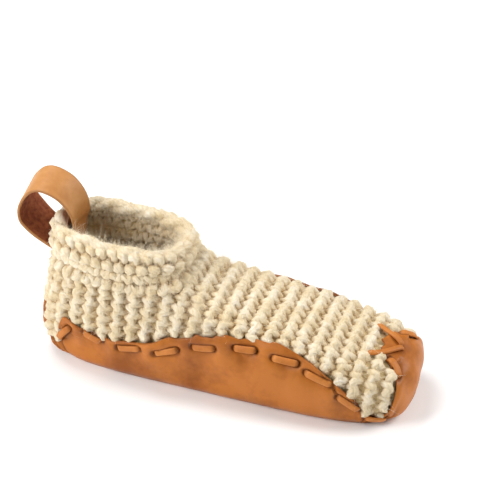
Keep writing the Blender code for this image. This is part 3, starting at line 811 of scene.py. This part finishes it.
def strap_piece(name, path, out, widths, thickness):
    """A strip of thong along a path, with painted shade where its ends go down the holes."""
    along = unit(np.gradient(path, axis=0))
    across = unit(np.cross(out, along))
    up = np.cross(along, across)
    shape = np.array(SECTION)
    verts = (path[:, None, :] + across[:, None, :] * (shape[None, :, 0:1] * widths[:, None, None])
             + up[:, None, :] * (shape[None, :, 1:2] * thickness))
    shade_and_wear = np.zeros(verts.shape[:2])
    # Painted shade on the ends that go down the holes
    shade_and_wear[0] = shade_and_wear[-1] = 0.8
    shade_and_wear[1] = shade_and_wear[-2] = 0.4
    return grid_object(name, verts, shade_and_wear, thong_leather)


skin_points = surface.reshape(-1, 3)
skin_wave = wave.reshape(-1)


def leather_rise(points):
    """How far the leather bulges or dips from its even thickness, at points of the form."""
    near = [np.argmin(((skin_points - point) ** 2).sum(-1)) for point in points]
    rise = skin_wave[near]
    return np.convolve(np.pad(rise, 2, mode="edge"), np.full(5, 0.2), "valid")


def thong_strip(name, centre, out, cad_node, sunk=0.0):
    """A stitch: level along its middle in its dent, dipping under the surface at both ends."""
    share = np.linspace(-1, 1, len(centre))
    rise = np.maximum(leather_rise(centre), -0.0018)
    dip = 0.0027 * np.clip((np.abs(share) - 0.78) / 0.22, 0, 1) ** 1.6
    lift = rise.max() * 0.4 + rise * 0.6 + 0.0007 - dip
    lift += 0.0004 * (1 - share ** 2)
    path = centre + out * (THICKNESS + lift - sunk)[:, None]
    widths = THONG_WIDTH * (1 - 0.25 * np.clip((np.abs(share) - 0.7) / 0.3, 0, 1) ** 2)
    piece = strap_piece(name, path, out, widths, THONG_THICKNESS)
    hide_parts(cad_node)


names = ["toe_flap", "toe_low", "toe_rise", "ball_front", "ball", "ball_back", "waist_front", "waist",
         "heel_front", "heel", "heel_tab", "heel_flap"]
labels = [f"thong_{side}_{name}" for side in ("near", "far") for name in names] + ["thong_heel_top"]
for label, (around, height, turn) in zip(labels, stitch_list):
    level, angle = stitch_line(around, height, turn, np.linspace(-0.52, 0.52, 19))
    sunk = 0.0004 if "toe_flap" in label or "toe_low" in label else 0.0
    thong_strip(label + "_strip", form(level, angle), outward(level, angle), label, sunk)

# Toe bars: two long stitches of the same thong that cross the toe flap's edge, each from a hole in the
# flap to the knit behind it
BAR_WIDTH = 0.0038
BAR_THICKNESS = 0.0015
BARS = [("near", -0.006, 4.50, -0.080, 5.25), ("far", 0.008, 4.58, 0.060, 5.42)]
for side_name, around, low_level, end_around, end_level in BARS:
    share = np.linspace(0, 1, 29)
    level = low_level + (end_level - low_level) * share
    angle = angle_at(around + (end_around - around) * share)
    centre = form(level, angle)
    out = outward(level, angle)
    height = 0.0030 - 0.0016 * np.clip((share - 0.3) / 0.4, 0, 1)
    height -= 0.0040 * np.clip((np.abs(share - 0.5) - 0.42) / 0.08, 0, 1) ** 1.5
    path = centre + out * height[:, None]
    widths = np.full(len(share), BAR_WIDTH)
    bar = strap_piece(f"thong_bar_{side_name}_strip", path, out, widths, BAR_THICKNESS)
    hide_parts(f"thong_bar_{side_name}")

# Pull loop: a strap of the same leather, 26 mm wide and 2 mm thick, smooth outside and brown suede
# inside, its nap drawn in tufts of 3 mm. It is sewn to the collar's back on both sides of the wall
# and stands up as a loop over the rim.
STRAP_WIDTH = 0.026
STRAP_THICKNESS = 0.0020
suede, shader = new_material("brown_suede_flesh_side", 0.85)
place = node(suede, "ShaderNodeTexCoord").outputs["Object"]
nap = node(suede, "ShaderNodeTexNoise", Vector=place, Scale=350.0, Detail=5.0)
suede.node_tree.links.new(ramp(suede, nap.outputs["Fac"], [(0.35, "783618"), (0.65, "A05A32")]),
                          shader.inputs["Base Color"])
bump = node(suede, "ShaderNodeBump", Height=nap.outputs["Fac"], Strength=0.5, Distance=0.0006)
suede.node_tree.links.new(bump.outputs["Normal"], shader.inputs["Normal"])
rim_z = BASE + RIM_HEIGHT
back_x = form(12.0, math.pi)[0]


def wall_at(height):
    """Where the back of the sock's outside lies along X at a height."""
    heights = form(LEVELS, np.full(len(LEVELS), math.pi))
    return np.interp(height, heights[:, 2], heights[:, 0])


# The strap's middle line: up inside the collar's wall, over in a round loop and down outside it
strap_points = []
for k in range(4):
    height = rim_z - 0.023 * (1 - k / 3.5)
    strap_points.append((wall_at(height) + 0.0097 + 0.0025 * k / 3, height))
for a, b in ((-0.40, 0.34), (-0.14, 0.78), (0.26, 0.99), (0.56, 0.94), (0.80, 0.68),
             (0.96, 0.34), (1.00, 0.04), (0.92, -0.26), (0.68, -0.56), (0.38, -0.80)):
    strap_points.append((back_x - a * 0.025, rim_z + b * 0.0235))
for drop, inside in ((0.0235, -0.0010), (0.0275, 0.0035)):
    strap_points.append((wall_at(rim_z - drop) + inside, rim_z - drop))
strap_points = np.array(strap_points)
fine_knots = np.linspace(0, len(strap_points) - 1, 141)
k = np.clip(fine_knots.astype(int), 0, len(strap_points) - 2)
f = (fine_knots - k)[:, None]
a = strap_points[np.maximum(k - 1, 0)]
b, c = strap_points[k], strap_points[k + 1]
d = strap_points[np.minimum(k + 2, len(strap_points) - 1)]
strap = 0.5 * (2 * b + (c - a) * f + (2 * a - 5 * b + 4 * c - d) * f ** 2
               + (3 * b - a - 3 * c + d) * f ** 3)
share = np.linspace(0, 1, len(strap))[:, None]
heading = unit(np.gradient(strap, axis=0))
facing = np.stack([heading[:, 1], -heading[:, 0]], -1)
flat = [(-0.5, 0.0), (-0.495, 0.35), (-0.47, 0.5)] + [(v, 0.5) for v in np.linspace(-0.43, 0.43, 11)]
flat += [(0.47, 0.5), (0.495, 0.35), (0.5, 0.0)]
flat += [(-v, -w) for v, w in flat[1:-1]]
profile = np.array(flat)
across = profile[None, :, 0] * STRAP_WIDTH
inside_end = np.clip(1 - (share - 0.20) / 0.25, 0, 1)
outside_end = np.clip(1 - (0.90 - share) / 0.18, 0, 1)
cup = across ** 2 * (inside_end / 0.042 + outside_end / 0.040)
depth = profile[None, :, 1] * STRAP_THICKNESS
lean = 0.004 * np.sin(math.pi * share) * profile[None, :, 0]
lean = lean + 0.007 * bell(share - 0.72, 0.14) * (profile[None, :, 0] + 0.5)
verts = np.stack([strap[:, 0:1] + facing[:, 0:1] * depth + cup, across + 0 * share,
                  strap[:, 1:2] + facing[:, 1:2] * depth + lean], -1)
border = np.clip((np.abs(profile[:, 0]) - 0.465) / 0.03, 0, 1) * 0.35
border = np.broadcast_to(border, verts.shape[:2])
loop = grid_object("pull_loop_strap", verts, border, strap_leather)
loop.data.materials.append(suede)
inward = profile[:, 1] < -0.4
for polygon in loop.data.polygons:
    column = polygon.index % len(profile)
    if inward[column] and inward[(column + 1) % len(profile)]:
        polygon.material_index = 1
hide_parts("pull_loop")

# Floor: seamless white paper, matt, too wide for its edge to show. It glows very slightly, so that it
# stays white round the slipper's soft shadow.
floor_paper, shader = new_material("white_paper_floor", 0.9)
shader.inputs["Base Color"].default_value = (0.95, 0.95, 0.95, 1.0)
shader.inputs["Emission Color"].default_value = (1.0, 1.0, 1.0, 1.0)
shader.inputs["Emission Strength"].default_value = 0.02
bpy.ops.mesh.primitive_plane_add(size=6.0, location=(0, 0, 0))
floor = bpy.context.object
floor.name = "floor"
floor.data.materials.append(floor_paper)


# Lights: a large soft key from the upper left behind the slipper, a lower fill beside its heel, a window
# behind its toe, and a bright white room
def area_light(name, place, aim, size, power):
    """A square soft light at a place, turned to its aim."""
    data = bpy.data.lights.new(name, "AREA")
    data.size = size
    data.energy = power
    light = bpy.data.objects.new(name, data)
    light.location = place
    light.rotation_euler = (Vector(place) - Vector(aim)).to_track_quat("Z", "Y").to_euler()
    bpy.context.scene.collection.objects.link(light)


area_light("key", (-0.50, 0.30, 1.25), (0, 0, 0.03), 0.6, 9.0)
area_light("fill", (-0.60, -0.55, 0.55), (-0.09, 0, 0.05), 0.5, 7.6)
area_light("window", (0.85, 0.32, 0.78), (0, 0, 0.06), 0.6, 10)
world = bpy.data.worlds.new("room")
world.use_nodes = True
background = world.node_tree.nodes["Background"]
background.inputs["Color"].default_value = (1.0, 1.0, 1.0, 1.0)
background.inputs["Strength"].default_value = 0.23
bpy.context.scene.world = world
bpy.context.scene.view_settings.view_transform = "Standard"
